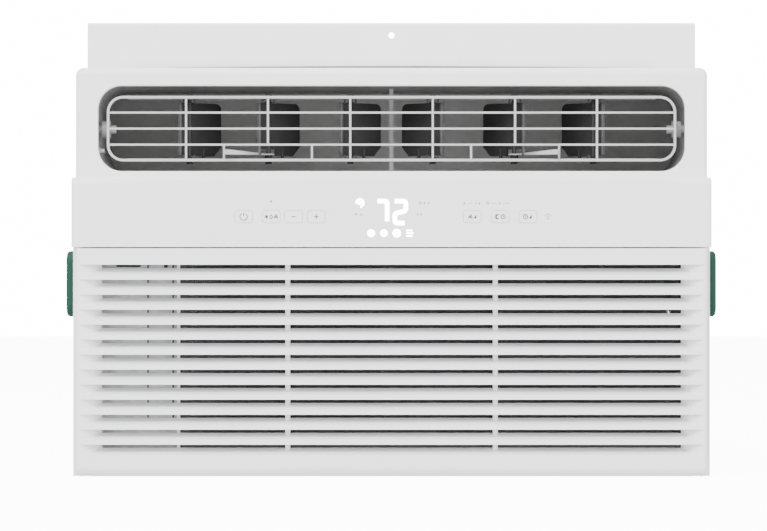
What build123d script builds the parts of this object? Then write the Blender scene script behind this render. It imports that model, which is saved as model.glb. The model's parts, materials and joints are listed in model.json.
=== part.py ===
"""Window air conditioner with a slatted intake door, a tilting louver grille and a key strip.

Millimetres. X runs left to right, Y from the room side (front, negative) to the outdoor side,
Z up. The origin is under the middle of the unit, on the surface that it stands on.
"""

import os
from math import cos, radians, sin

from build123d import *

os.makedirs("parts", exist_ok=True)

# ---------------------------------------------------------------- overall sizes
FRONT_Y = -202.5  # noses of the intake slats, the foremost point
PANEL_HALF = 235.0  # half width of the control strip
UPPER_HALF = 232.5  # half width of the louver section
CASE_HALF = 228.5  # half width of the steel case
HANDLE_HALF = 246.4  # outer face of the side handles
CASE_TOP = 298.6
PANEL_TOP = 301.6
RAIL_TOP = 338.0
SHEET = 1.2  # steel of the case
WALL = 2.5  # moulded plastic

# ---------------------------------------------------------------- front panel
CONTROL_Y = -202.0  # face of the key strip
UPPER_Y = -192.5  # face round the louver opening
PANEL_BACK = -140.0
FRAME_Y = -181.5  # face of the inlet frame behind the intake door
STRIP_BOTTOM = 169.5
STRIP_TOP = 215.8
LEDGE_TOP = 220.6
MOUTH_W = 431.6  # louver opening
MOUTH_H = 62.7
MOUTH_R = 17.3
AXIS_Z = 256.7  # middle of the louver opening, where the grille tilts
AXIS_Y = -171.0

# ---------------------------------------------------------------- intake door
DOOR_HALF = 231.8
DOOR_TOP = 168.5
DOOR_BACK = -183.0
SLAT_BACK = -190.5
HINGE_Y = -195.0
HINGE_Z = 13.0
SLOTS = 13
SLOT_PITCH = 11.0
SLOT_TOP_Z = 155.3  # middle of the highest slot, seen from the front
SLOT_HALF = 213.0
SCOOP_HALF = 230.0

# ---------------------------------------------------------------- keys
KEY_W = 13.0
KEY_H = 9.0
KEY_R = 2.0
KEY_Z = 191.7
KEY_GAP = 0.2
KEY_X = {
    "key_power": -108.5,
    "key_mode": -88.3,
    "key_minus": -71.8,
    "key_plus": -55.2,
    "key_fan": 59.2,
    "key_sleep": 79.8,
    "key_timer": 100.1,
}

# ---------------------------------------------------------------- louver grille and vanes
GRILLE_HALF = 209.6
GRILLE_H = 48.2
GRILLE_R = 12.0
BAR = 1.5
VANE_X = {"outer": 149.5, "middle": 91.0, "inner": 30.4}
VANE_H = 39.0
VANE_AHEAD = 11.0
VANE_BEHIND = 31.0
VANE_TURN = 45.0  # outward turn of the vanes at rest
TIE_REACH = 14.0  # from a vane's pivot back to its tie pin
LEVER_TURN = 53.0
LEVER_REACH = 40.0
SHELF_T = 2.0
SHELF_LOW = AXIS_Z - GRILLE_H / 2 + 0.05
SHELF_HIGH = AXIS_Z + GRILLE_H / 2 - 0.05 - SHELF_T

# ---------------------------------------------------------------- fan set
FAN_X = -20.0
FAN_Z = 132.0
WHEEL_R = 75.0
FAN_R = 100.0
SHAFT_R = 4.0
BULKHEAD_Y = -46.5

# ---------------------------------------------------------------- refrigeration
TUBE_R = 3.5
EVAP_X = (-150.0, 204.0)
COND_X = (-206.0, 206.0)
COMP_X = 150.0
COMP_Y = 20.0


def save(builder, name):
    """Label a finished piece and write it under the same name."""
    builder.part.label = name
    export_step(builder.part, f"parts/{name}.step")


def at_y(y):
    """Plane that faces the front, at depth y."""
    return Plane.XZ.offset(-y)


def block(x0, x1, y0, y1, z0, z1, mode=Mode.ADD):
    """Box between two opposite corners."""
    with Locations(((x0 + x1) / 2, (y0 + y1) / 2, (z0 + z1) / 2)):
        Box(abs(x1 - x0), abs(y1 - y0), abs(z1 - z0), mode=mode)


def rod(start, direction, radius, length, mode=Mode.ADD):
    """Round bar from start along direction."""
    with BuildSketch(Plane(origin=start, z_dir=direction)) as section:
        Circle(radius)
    extrude(section.sketch, amount=length, mode=mode)


def slab(y0, y1, width, height, radius, x=0.0, z=0.0, mode=Mode.ADD):
    """Plate with rounded corners between two depths, seen from the front."""
    with BuildSketch(at_y(y0)) as outline:
        with Locations((x, z)):
            RectangleRounded(width, height, radius)
    extrude(outline.sketch, amount=y0 - y1, mode=mode)


def side_profile(points, half, mode=Mode.ADD):
    """Solid of one side outline, given as (y, z), as wide as twice half."""
    with BuildSketch(Plane.YZ) as outline:
        with BuildLine():
            Polyline(*points, close=True)
        make_face()
    extrude(outline.sketch, amount=half, both=True, mode=mode)


def pipe(points, bend, radius):
    """Round tube along straight runs joined by bends."""
    with BuildLine() as route:
        FilletPolyline(*points, radius=bend)
    with BuildSketch(Plane(origin=route.line @ 0, z_dir=route.line % 0)) as section:
        Circle(radius)
    sweep(section.sketch, path=route.line)


def pan_screw(x, y, z, direction):
    """Pan head screw with a cross recess; x, y, z is under its head."""
    plane = Plane(origin=(x, y, z), z_dir=direction)
    rod((x, y, z), direction, 3.6, 1.0)
    with BuildSketch(plane.offset(1.0)) as recess:
        Rectangle(3.6, 0.9)
        Rectangle(0.9, 3.6)
    extrude(recess.sketch, amount=-0.6, mode=Mode.SUBTRACT)
    rod((x, y, z), [-part for part in direction], SCREW_R, 4.0)


# ================================================================ cabinet

PAN_HALF = CASE_HALF - SHEET
PAN_Y = (-146.0, 198.0)
PAN_T = 1.6
SCREW_R = 1.8
SIDE_SCREW_Y = (-60, 60, 180)
SIDE_SCREW_Z = 18
RAIL_SCREW_X = (-200, -70, 70, 200)
RAIL_SCREW_Y = -118
GUARD_HOLES = [(x, z) for x in (-216, 0, 216) for z in (12, 288)]

with BuildPart() as base_pan:
    block(-PAN_HALF, PAN_HALF, *PAN_Y, 0, 30)
    fillet(base_pan.edges().filter_by(Axis.Z), 6)
    offset(amount=-PAN_T, openings=base_pan.faces().sort_by(Axis.Z)[-1])
    # sump for the slinger ring and two stiffening ribs under the compressor
    block(-150, 110, 100, 104, PAN_T, 12)
    block(-150, 110, 128, 132, PAN_T, 12)
    # holes for the support bracket, two along each side
    with BuildSketch(Plane.XY):
        with GridLocations(400, 160, 2, 2):
            Circle(2.5)
    extrude(amount=PAN_T, mode=Mode.SUBTRACT)
    # screw holes for the case and the rear guard
    for y_hole in SIDE_SCREW_Y:
        rod((-PAN_HALF - 1, y_hole, SIDE_SCREW_Z), (1, 0, 0), SCREW_R, 2 * PAN_HALF + 2, mode=Mode.SUBTRACT)
    for x_hole, z_hole in GUARD_HOLES[::2]:
        rod((x_hole, PAN_Y[1] - 4, z_hole), (0, 1, 0), SCREW_R, 8, mode=Mode.SUBTRACT)
save(base_pan, "base_pan")

CASE_Y = (-158.0, 199.0)
HANDLE_Y = (-100.0, 0.0)
HANDLE_Z = (117.0, 167.0)
HANDLE_MID_Y = sum(HANDLE_Y) / 2
HANDLE_MID_Z = sum(HANDLE_Z) / 2
CUP_W = 88.0  # cup that passes through the side of the case
CUP_H = 40.0
GLAND_Y = -115.0
GLAND_Z = 46.0

with BuildPart() as outer_case:
    with BuildSketch(at_y(CASE_Y[0])):
        with Locations((0, (CASE_TOP + PAN_T) / 2)):
            Rectangle(2 * CASE_HALF, CASE_TOP - PAN_T)
    extrude(amount=CASE_Y[0] - CASE_Y[1])
    fillet(outer_case.edges().filter_by(Axis.Y).group_by(Axis.Z)[-1], 5)
    with BuildSketch(at_y(CASE_Y[0])):
        with BuildLine():
            inner = CASE_HALF - SHEET
            top = CASE_TOP - SHEET
            Polyline((-inner, 0), (-inner, top - 3.8), (-inner + 3.8, top), (inner - 3.8, top),
                     (inner, top - 3.8), (inner, 0), close=True)
        make_face()
    extrude(amount=CASE_Y[0] - CASE_Y[1], mode=Mode.SUBTRACT)
    # lip at the back that the guard is screwed to
    block(-inner, inner, CASE_Y[1] - SHEET, CASE_Y[1], top - 17, top - 3)
    for side in (-1, 1):
        block(side * inner, side * (inner - 17), CASE_Y[1] - SHEET, CASE_Y[1], 32, top - 3)
    for x_hole, z_hole in GUARD_HOLES[1::2]:
        rod((x_hole, CASE_Y[1] - 4, z_hole), (0, 1, 0), SCREW_R, 8, mode=Mode.SUBTRACT)
    # outdoor air slots in both sides
    with BuildSketch(Plane.YZ):
        with Locations((122, 165)):
            with GridLocations(40, 14, 3, 14):
                SlotOverall(32, 5)
    extrude(amount=CASE_HALF + 1, both=True, mode=Mode.SUBTRACT)
    # outdoor air slots in the top
    with BuildSketch(Plane.XY.offset(CASE_TOP - 2)):
        with Locations((0, 110)):
            with GridLocations(14, 46, 27, 2):
                SlotOverall(38, 5, rotation=90)
    extrude(amount=4, mode=Mode.SUBTRACT)
    # openings for the handle cups, and the side channel screw holes
    with BuildSketch(Plane.YZ):
        with Locations((HANDLE_MID_Y, HANDLE_MID_Z)):
            RectangleRounded(CUP_W, CUP_H, 8)
        with Locations((-126, 70), (-126, 150), (-126, 230)):
            Circle(2.0)
    extrude(amount=CASE_HALF + 1, both=True, mode=Mode.SUBTRACT)
    rod((CASE_HALF - 4, GLAND_Y, GLAND_Z), (1, 0, 0), 8, 8, mode=Mode.SUBTRACT)
    # screw holes: sides into the base pan, and the top for the rail
    for x_side in (-1, 1):
        for y_hole in SIDE_SCREW_Y:
            rod((x_side * (CASE_HALF - 4), y_hole, SIDE_SCREW_Z), (x_side, 0, 0), SCREW_R, 8,
                mode=Mode.SUBTRACT)
    for x_hole in RAIL_SCREW_X:
        rod((x_hole, RAIL_SCREW_Y, CASE_TOP - 4), (0, 0, 1), SCREW_R, 8, mode=Mode.SUBTRACT)
save(outer_case, "outer_case")

GUARD_T = 2.5

with BuildPart() as rear_guard:
    slab(CASE_Y[1], CASE_Y[1] + GUARD_T, 2 * CASE_HALF, CASE_TOP - PAN_T, 5,
         z=(CASE_TOP + PAN_T) / 2)
    with BuildSketch(at_y(CASE_Y[1])):
        with Locations((0, 150)):
            with GridLocations(42, 11, 10, 23):
                SlotOverall(38, 7.5)
        with Locations(*GUARD_HOLES):
            Circle(SCREW_R)
    extrude(amount=-GUARD_T, mode=Mode.SUBTRACT)
save(rear_guard, "rear_guard")

RAIL_Y = -130.0
RAIL_HALF = 228.0
RAIL_T = 1.6

with BuildPart() as top_rail:
    side_profile(
        [
            (RAIL_Y, CASE_TOP),
            (RAIL_Y, RAIL_TOP - 2),
            (RAIL_Y + 2, RAIL_TOP),
            (RAIL_Y + 7, RAIL_TOP),
            (RAIL_Y + 7, RAIL_TOP - RAIL_T),
            (RAIL_Y + 2.4, RAIL_TOP - RAIL_T),
            (RAIL_Y + RAIL_T, RAIL_TOP - 2.4),
            (RAIL_Y + RAIL_T, CASE_TOP + RAIL_T),
            (RAIL_Y + 24, CASE_TOP + RAIL_T),
            (RAIL_Y + 24, CASE_TOP),
        ],
        RAIL_HALF,
    )
    rod((0, RAIL_Y - 1, 328.6), (0, 1, 0), 2.25, 4, mode=Mode.SUBTRACT)
    for x_hole in RAIL_SCREW_X:
        rod((x_hole, RAIL_SCREW_Y, CASE_TOP - 1), (0, 0, 1), SCREW_R, 4, mode=Mode.SUBTRACT)
save(top_rail, "top_rail")

with BuildPart() as cabinet_screws:
    for x_side in (-1, 1):
        for y_hole in SIDE_SCREW_Y:
            pan_screw(x_side * CASE_HALF, y_hole, SIDE_SCREW_Z, (x_side, 0, 0))
    for x_hole in RAIL_SCREW_X:
        pan_screw(x_hole, RAIL_SCREW_Y, CASE_TOP + RAIL_T, (0, 0, 1))
    for x_hole, z_hole in GUARD_HOLES:
        pan_screw(x_hole, CASE_Y[1] + GUARD_T, z_hole, (0, 1, 0))
save(cabinet_screws, "cabinet_screws")


def side_handle(side):
    """Cup handle: a thick rim outside the case and a finger cup through it."""
    inner_x = 212.0
    plane = Plane(origin=(side * CASE_HALF, HANDLE_MID_Y, HANDLE_MID_Z), x_dir=(0, 1, 0),
                  z_dir=(side, 0, 0))
    with BuildPart() as handle:
        with BuildSketch(plane):
            RectangleRounded(100, 50, 9)
        extrude(amount=HANDLE_HALF - CASE_HALF)
        fillet(handle.faces().sort_by(Axis.X)[-1 if side > 0 else 0].edges(), 3)
        with BuildSketch(plane):
            RectangleRounded(CUP_W, CUP_H, 8)
        extrude(amount=inner_x - CASE_HALF)
        with BuildSketch(plane.offset(HANDLE_HALF - CASE_HALF)):
            RectangleRounded(CUP_W - 5, CUP_H - 5, 6)
        extrude(amount=inner_x + WALL - HANDLE_HALF, mode=Mode.SUBTRACT)
    return handle


save(side_handle(-1), "handle_left")
save(side_handle(1), "handle_right")

with BuildPart() as cord_gland:
    rod((CASE_HALF - 3, GLAND_Y, GLAND_Z), (1, 0, 0), 8, 5)
    rod((CASE_HALF, GLAND_Y, GLAND_Z), (1, 0, 0), 11, 2.5)
    rod((CASE_HALF - 4, GLAND_Y, GLAND_Z), (1, 0, 0), 4.5, 8, mode=Mode.SUBTRACT)
save(cord_gland, "cord_gland")

# ================================================================ front panel

EAR_X = (221.0, 226.0)  # ears that carry the door's hinge pins
EAR_R = 3.3
PIN_R = 2.0
PANEL_IN = UPPER_HALF - WALL

with BuildPart() as front_panel:
    # louver section, rounded over at its top and sides
    with BuildSketch(at_y(UPPER_Y)):
        with Locations((0, (PANEL_TOP + STRIP_BOTTOM) / 2)):
            RectangleRounded(2 * UPPER_HALF, PANEL_TOP - STRIP_BOTTOM, 6)
    extrude(amount=UPPER_Y - PANEL_BACK)
    fillet(front_panel.faces().sort_by(Axis.Y)[0].edges(), 4.5)
    # key strip, ledge above it, and the surround behind the intake door
    side_profile(
        [
            (CONTROL_Y, STRIP_BOTTOM),
            (CONTROL_Y, STRIP_TOP),
            (UPPER_Y, LEDGE_TOP),
            (PANEL_BACK, LEDGE_TOP),
            (PANEL_BACK, 0.5),
            (FRAME_Y, 0.5),
            (FRAME_Y, STRIP_BOTTOM),
        ],
        PANEL_HALF,
    )
    fillet(
        front_panel.edges().filter_by(Axis.Z).filter_by_position(Axis.Y, CONTROL_Y - 1, CONTROL_Y + 1),
        3.5,
    )
    # hollow inside
    side_profile(
        [
            (CONTROL_Y + WALL, STRIP_BOTTOM + WALL),
            (CONTROL_Y + WALL, STRIP_TOP - 1.4),
            (UPPER_Y + WALL, LEDGE_TOP - 3.2),
            (PANEL_BACK + 1, LEDGE_TOP - 3.2),
            (PANEL_BACK + 1, 3),
            (FRAME_Y + WALL, 3),
            (FRAME_Y + WALL, STRIP_BOTTOM + WALL),
        ],
        PANEL_HALF - WALL,
        mode=Mode.SUBTRACT,
    )
    block(-PANEL_IN, PANEL_IN, UPPER_Y + WALL, PANEL_BACK + 1, 200, PANEL_TOP - WALL,
          mode=Mode.SUBTRACT)
    # room for the base pan under the rear edge
    block(-PANEL_HALF + WALL, PANEL_HALF - WALL, CASE_Y[0] - 1, PANEL_BACK + 1, -1, 4, mode=Mode.SUBTRACT)
    # air inlet behind the door
    slab(FRAME_Y - 1, FRAME_Y + WALL + 1, 440, 140, 6, z=90, mode=Mode.SUBTRACT)
    # louver opening with a softened edge
    slab(UPPER_Y - 1, UPPER_Y + WALL + 1, MOUTH_W, MOUTH_H, MOUTH_R, z=AXIS_Z, mode=Mode.SUBTRACT)
    mouth_edges = (
        front_panel.faces()
        .filter_by(Axis.Y)
        .filter_by_position(Axis.Y, UPPER_Y - 0.01, UPPER_Y + 0.01)[0]
        .inner_wires()[0]
        .edges()
    )
    fillet(mouth_edges, 1.2)
    # key windows, and a thinned patch that the display shines through
    for x_key in KEY_X.values():
        slab(CONTROL_Y - 1, CONTROL_Y + WALL + 1, KEY_W + 2 * KEY_GAP, KEY_H + 2 * KEY_GAP,
             KEY_R + KEY_GAP, x=x_key, z=KEY_Z, mode=Mode.SUBTRACT)
    block(-34, 34, CONTROL_Y + 1, CONTROL_Y + WALL + 1, 176, 210, mode=Mode.SUBTRACT)
    # ears for the door hinge, reaching forward from the frame
    for side in (-1, 1):
        block(side * EAR_X[0], side * EAR_X[1], HINGE_Y, FRAME_Y + 1, HINGE_Z - EAR_R, HINGE_Z + EAR_R)
        rod((side * EAR_X[0], HINGE_Y, HINGE_Z), (side, 0, 0), EAR_R, EAR_X[1] - EAR_X[0])
        rod((side * EAR_X[0], HINGE_Y, HINGE_Z), (side, 0, 0), PIN_R, EAR_X[1] - EAR_X[0],
            mode=Mode.SUBTRACT)
save(front_panel, "front_panel")

PIN_END = 230.0

with BuildPart() as door_hinge_pins:
    for side in (-1, 1):
        rod((side * EAR_X[0], HINGE_Y, HINGE_Z), (side, 0, 0), PIN_R, PIN_END - EAR_X[0])
save(door_hinge_pins, "door_hinge_pins")

# ================================================================ intake door

RIB_X = 76.3
RIB_W = 3.5
FILTER_X = (-155.6, 231.0)
FILTER_BORDER = 7.0
FILTER_BARS = (-RIB_X, 0, RIB_X, 154.6)
FILTER_Y = (-189.9, -185.6)
FILTER_Z = (17.2, 163.5)

with BuildPart() as slot_cutters:
    # one sloping channel for each slot ...
    with BuildSketch(Plane.YZ):
        for i in range(SLOTS):
            z_slot = SLOT_TOP_Z - i * SLOT_PITCH
            with BuildLine():
                Polyline(
                    (FRONT_Y - 0.01, z_slot - 6.4),
                    (FRONT_Y - 0.01, z_slot + 1.2),
                    (SLAT_BACK + 0.01, z_slot + 7.0),
                    (SLAT_BACK + 0.01, z_slot - 1.5),
                    close=True,
                )
            make_face()
    extrude(amount=SCOOP_HALF + 1, both=True)
    # ... that narrows in a curve from the front to the back
    with BuildSketch(Plane.XY):
        with BuildLine():
            right_front = (SCOOP_HALF, FRONT_Y - 0.01)
            right_back = (SLOT_HALF, SLAT_BACK + 0.01)
            left_front = (-SCOOP_HALF, FRONT_Y - 0.01)
            left_back = (-SLOT_HALF, SLAT_BACK + 0.01)
            Line(left_front, right_front)
            ThreePointArc(right_front, (SLOT_HALF + 6, -197.2), right_back)
            Line(right_back, left_back)
            ThreePointArc(left_back, (-SLOT_HALF - 6, -197.2), left_front)
        make_face()
    extrude(amount=DOOR_TOP + 10, mode=Mode.INTERSECT)

with BuildPart() as intake_door:
    # side outline with its lower end rounded about the hinge
    with BuildSketch(Plane.YZ):
        with BuildLine():
            Polyline((HINGE_Y - 7.5, 8.5), (HINGE_Y - 7.5, DOOR_TOP), (DOOR_BACK, DOOR_TOP),
                     (DOOR_BACK, HINGE_Z))
            ThreePointArc((DOOR_BACK, HINGE_Z), (HINGE_Y + 12 * sin(radians(45)),
                          HINGE_Z - 12 * cos(radians(45))), (HINGE_Y, 1))
            ThreePointArc((HINGE_Y, 1), (HINGE_Y - 7.5 * sin(radians(45)),
                          8.5 - 7.5 * cos(radians(45))), (HINGE_Y - 7.5, 8.5))
        make_face()
    extrude(amount=DOOR_HALF, both=True)
    fillet(
        intake_door.edges().filter_by(Axis.Z).filter_by_position(Axis.Y, FRONT_Y - 1, FRONT_Y + 1), 3.5
    )
    # hollow behind the slats
    block(-DOOR_HALF + WALL, DOOR_HALF - WALL, SLAT_BACK, DOOR_BACK + 1, HINGE_Z + 1, DOOR_TOP - WALL,
          mode=Mode.SUBTRACT)
    add(slot_cutters.part, mode=Mode.SUBTRACT)
    # ribs behind the slats
    for side in (-1, 1):
        block(side * RIB_X - RIB_W / 2, side * RIB_X + RIB_W / 2, SLAT_BACK - 4, SLAT_BACK, 15, 164)
    # lips that hold the filter
    block(-DOOR_HALF + 1, DOOR_HALF - 1, DOOR_BACK - 2, DOOR_BACK, HINGE_Z, HINGE_Z + 4.5)
    block(-DOOR_HALF + 1, DOOR_HALF - 1, DOOR_BACK - 2, DOOR_BACK, DOOR_TOP - 6, DOOR_TOP - 1)
    # stop for the filter's inner end
    block(FILTER_X[0] - 2.2, FILTER_X[0] - 0.2, SLAT_BACK, FILTER_Y[1], HINGE_Z + 4, DOOR_TOP - 4)
    # slot in the right cheek that the filter slides out of
    block(DOOR_HALF - 8, DOOR_HALF + 1, FILTER_Y[0] - 0.4, FILTER_Y[1] + 0.4, FILTER_Z[0] - 0.4,
          FILTER_Z[1] + 0.4, mode=Mode.SUBTRACT)
    # room for the panel's ears, and the hinge pin holes
    for side in (-1, 1):
        block(side * (EAR_X[0] - 1), side * (EAR_X[1] + 1), FRONT_Y + 3, DOOR_BACK + 1, -1, 16.9,
              mode=Mode.SUBTRACT)
        rod((side * EAR_X[0], HINGE_Y, HINGE_Z), (side, 0, 0), PIN_R + 0.05, PIN_END + 0.4 - EAR_X[0],
            mode=Mode.SUBTRACT)
save(intake_door, "intake_door")


with BuildPart() as filter_frame:
    block(*FILTER_X, *FILTER_Y, *FILTER_Z)
    across = [FILTER_X[0] + FILTER_BORDER - 1.5, *FILTER_BARS, FILTER_X[1] - FILTER_BORDER + 1.5]
    up = [FILTER_Z[0] + FILTER_BORDER - 1.5, sum(FILTER_Z) / 2, FILTER_Z[1] - FILTER_BORDER + 1.5]
    for x0, x1 in zip(across, across[1:]):
        for z0, z1 in zip(up, up[1:]):
            block(x0 + 1.5, x1 - 1.5, FILTER_Y[0] - 1, FILTER_Y[1] + 1, z0 + 1.5, z1 - 1.5,
                  mode=Mode.SUBTRACT)
    # groove for the mesh
    block(FILTER_X[0] + 4, FILTER_X[1] - 4, -188.1, -187.3, FILTER_Z[0] + 4, FILTER_Z[1] - 4,
          mode=Mode.SUBTRACT)
save(filter_frame, "filter_frame")

with BuildPart() as filter_mesh:
    block(FILTER_X[0] + 4.2, FILTER_X[1] - 4.2, -188.0, -187.4, FILTER_Z[0] + 4.2, FILTER_Z[1] - 4.2)
save(filter_mesh, "filter_mesh")

# ================================================================ keys and display

KEY_BACK = -197.3


def key_cap(x):
    """Flush key cap with a stem towards its switch."""
    with BuildPart() as cap:
        slab(CONTROL_Y, CONTROL_Y + 3.2, KEY_W, KEY_H, KEY_R, x=x, z=KEY_Z)
        fillet(cap.faces().sort_by(Axis.Y)[0].edges(), 0.3)
        rod((x, CONTROL_Y + 3.2, KEY_Z), (0, 1, 0), 2.2, KEY_BACK - CONTROL_Y - 3.2)
    return cap


for key_name, x_key in KEY_X.items():
    save(key_cap(x_key), key_name)

BOARD_Y = -194.0

with BuildPart() as control_board:
    block(-124, 124, BOARD_Y, BOARD_Y + 1.6, 174, 212)
    # one push switch behind each key
    for x_key in KEY_X.values():
        block(x_key - 3, x_key + 3, BOARD_Y - 1.5, BOARD_Y, KEY_Z - 3, KEY_Z + 3)
save(control_board, "control_board")

with BuildPart() as display_module:
    block(-33, 33, CONTROL_Y + 1.05, BOARD_Y, 177, 209)
save(display_module, "display_module")

# ================================================================ discharge duct and louver

DUCT_Y = (-190.0, -47.0)
DUCT_T = 2.5
OUTLET_X = (-100.0, -4.0)

with BuildPart() as discharge_duct:
    slab(*DUCT_Y, MOUTH_W + 2 * DUCT_T + 1.4, MOUTH_H + 2 * DUCT_T, MOUTH_R + DUCT_T, z=AXIS_Z)
    slab(DUCT_Y[0], DUCT_Y[1] - DUCT_T, MOUTH_W + 1.4, MOUTH_H, MOUTH_R, z=AXIS_Z, mode=Mode.SUBTRACT)
    block(*OUTLET_X, -99, -51, 220, AXIS_Z, mode=Mode.SUBTRACT)
    # centre rib behind the vanes
    block(-1.5, 1.5, -137, -122, AXIS_Z - MOUTH_H / 2 - 1, AXIS_Z + MOUTH_H / 2 + 1)
    # bearings for the grille's pins
    rod((-PANEL_IN, AXIS_Y, AXIS_Z), (1, 0, 0), 3.05, 2 * PANEL_IN, mode=Mode.SUBTRACT)
save(discharge_duct, "discharge_duct")

DUCT_IN = MOUTH_W / 2 + 0.7

with BuildPart() as louver_detent:
    block(-DUCT_IN + 0.8, -DUCT_IN + 1.8, -187, -178, 238.6, 242.4)
    rod((-DUCT_IN + 0.8, -182.5, 240.5), (1, 0, 0), 1.5, 3.9)
save(louver_detent, "louver_detent")

GRILLE_Y = (-190.0, -186.5)
ROW_Z = [AXIS_Z + 11.8, AXIS_Z, AXIS_Z - 11.8]
RIM = 1.8
LEVER_WINDOW = 32.4
END_X = GRILLE_HALF - RIM


def grille_bar(x0, x1, z0, z1):
    """Thin bar of the grille between two corners, seen from the front."""
    block(x0, x1, GRILLE_Y[0] + 0.3, GRILLE_Y[1], z0, z1)


with BuildPart() as louver_grille:
    slab(*GRILLE_Y, 2 * GRILLE_HALF, GRILLE_H, GRILLE_R, z=AXIS_Z)
    slab(*GRILLE_Y, 2 * END_X, GRILLE_H - 2 * RIM, GRILLE_R - RIM, z=AXIS_Z, mode=Mode.SUBTRACT)
    for z_row in ROW_Z:
        grille_bar(-GRILLE_HALF + 1, GRILLE_HALF - 1, z_row - BAR / 2, z_row + BAR / 2)
    low = AXIS_Z - GRILLE_H / 2 + 1
    high = AXIS_Z + GRILLE_H / 2 - 1
    for side in (-1, 1):
        for x_bar in (side * 30.4, side * 151.3):
            grille_bar(x_bar - BAR / 2, x_bar + BAR / 2, low, high)
        x_mid = side * VANE_X["middle"]
        grille_bar(x_mid - BAR / 2, x_mid + BAR / 2, ROW_Z[2], high)
        for x_bar in (x_mid - LEVER_WINDOW, x_mid + LEVER_WINDOW):
            grille_bar(x_bar - BAR / 2, x_bar + BAR / 2, low, ROW_Z[2])
    # shelves behind the top and bottom rims, which hold the vane pins
    for z_shelf in (SHELF_LOW, SHELF_HIGH):
        block(-195, 195, GRILLE_Y[1] - 1, -166, z_shelf, z_shelf + SHELF_T)
    # an arm, boss and pivot pin at each end
    for side in (-1, 1):
        block(side * END_X, side * (GRILLE_HALF - 0.1), GRILLE_Y[1] - 1, AXIS_Y + 6, AXIS_Z - 6, AXIS_Z + 6)
        rod((side * END_X, AXIS_Y, AXIS_Z), (side, 0, 0), 6, 6.2)
        rod((side * (END_X - 4), AXIS_Y, AXIS_Z), (side, 0, 0), 3, 15.4)
        for x_vane in VANE_X.values():
            rod((side * x_vane, AXIS_Y, SHELF_LOW - 1), (0, 0, 1), 1.55, 60, mode=Mode.SUBTRACT)
save(louver_grille, "louver_grille")

VANE_LOW = AXIS_Z - VANE_H / 2
VANE_HIGH = AXIS_Z + VANE_H / 2
LEVER_LOW = VANE_LOW + 0.4
LEVER_T = 3.6
LEVER_RING_T = 1.0


def vane(side, place):
    """Upright vane, turned outward, with pivot pins and a tie pin underneath."""
    x = side * VANE_X[place]
    turned = Plane(origin=(x, AXIS_Y, AXIS_Z)).rotated((0, 0, side * VANE_TURN))
    upright = Plane(origin=turned.origin, x_dir=turned.y_dir, z_dir=turned.x_dir)
    with BuildPart() as blade:
        with BuildSketch(upright):
            with Locations(((VANE_BEHIND - VANE_AHEAD) / 2, 0)):
                Rectangle(VANE_BEHIND + VANE_AHEAD, VANE_H)
        extrude(amount=0.9, both=True)
        corners = blade.edges().filter_by(Axis((0, 0, 0), turned.x_dir))
        rear = corners.sort_by(Axis((0, 0, 0), turned.y_dir))[-2:].sort_by(Axis.Z)
        fillet(rear[1], 5)
        chamfer(rear[0], 7)
        # thicker front edge
        nose = turned.origin - turned.y_dir * (VANE_AHEAD - 1.4)
        rod((nose.X, nose.Y, VANE_LOW), (0, 0, 1), 1.4, VANE_H)
        if place == "middle":
            with BuildSketch(upright):
                with Locations((-2.5, -VANE_H / 2 + 2.4)):
                    Rectangle(19, 4.8)
            extrude(amount=2, both=True, mode=Mode.SUBTRACT)
        rod((x, AXIS_Y, SHELF_LOW - 1.6), (0, 0, 1), 1.5, SHELF_HIGH + SHELF_T - SHELF_LOW + 3.2)
        # collars that keep the pins in the shelves
        for z_collar in (SHELF_LOW - 1.6, SHELF_HIGH + SHELF_T + 0.4):
            rod((x, AXIS_Y, z_collar), (0, 0, 1), 2.4, 1.2)
        for z_collar in (SHELF_LOW + SHELF_T + 0.3, VANE_HIGH):
            rod((x, AXIS_Y, z_collar), (0, 0, 1), 2.4, 0.8)
        tie = turned.origin + turned.y_dir * TIE_REACH
        rod((tie.X, tie.Y, VANE_LOW - 4.0), (0, 0, 1), 1.2, 9)
    return blade


for side, side_name in ((-1, "left"), (1, "right")):
    for place in VANE_X:
        save(vane(side, place), f"vane_{side_name}_{place}")


def lever(side):
    """Finger lever clipped round the middle vane's pivot pin."""
    x = side * VANE_X["middle"]
    aim = Plane(origin=(x, AXIS_Y, LEVER_LOW)).rotated((0, 0, side * LEVER_TURN))
    with BuildPart() as arm:
        with BuildSketch(aim):
            Circle(4.6)
            with BuildLine():
                Polyline((-2.6, 0), (-1.1, -LEVER_REACH), (1.1, -LEVER_REACH), (2.6, 0), close=True)
            make_face()
        extrude(amount=LEVER_T)
        with BuildSketch(aim):
            Circle(1.5)
        extrude(amount=LEVER_T, mode=Mode.SUBTRACT)
        # thins down from its tip to the ring
        with BuildSketch(Plane(origin=aim.origin, x_dir=aim.y_dir, z_dir=aim.x_dir)):
            with BuildLine():
                Polyline((5, LEVER_RING_T), (-4.6, LEVER_RING_T), (4 - LEVER_REACH, LEVER_T),
                         (4 - LEVER_REACH, LEVER_T + 1), (5, LEVER_T + 1), close=True)
            make_face()
        extrude(amount=6, both=True, mode=Mode.SUBTRACT)
    return arm


save(lever(-1), "lever_left")
save(lever(1), "lever_right")


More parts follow.
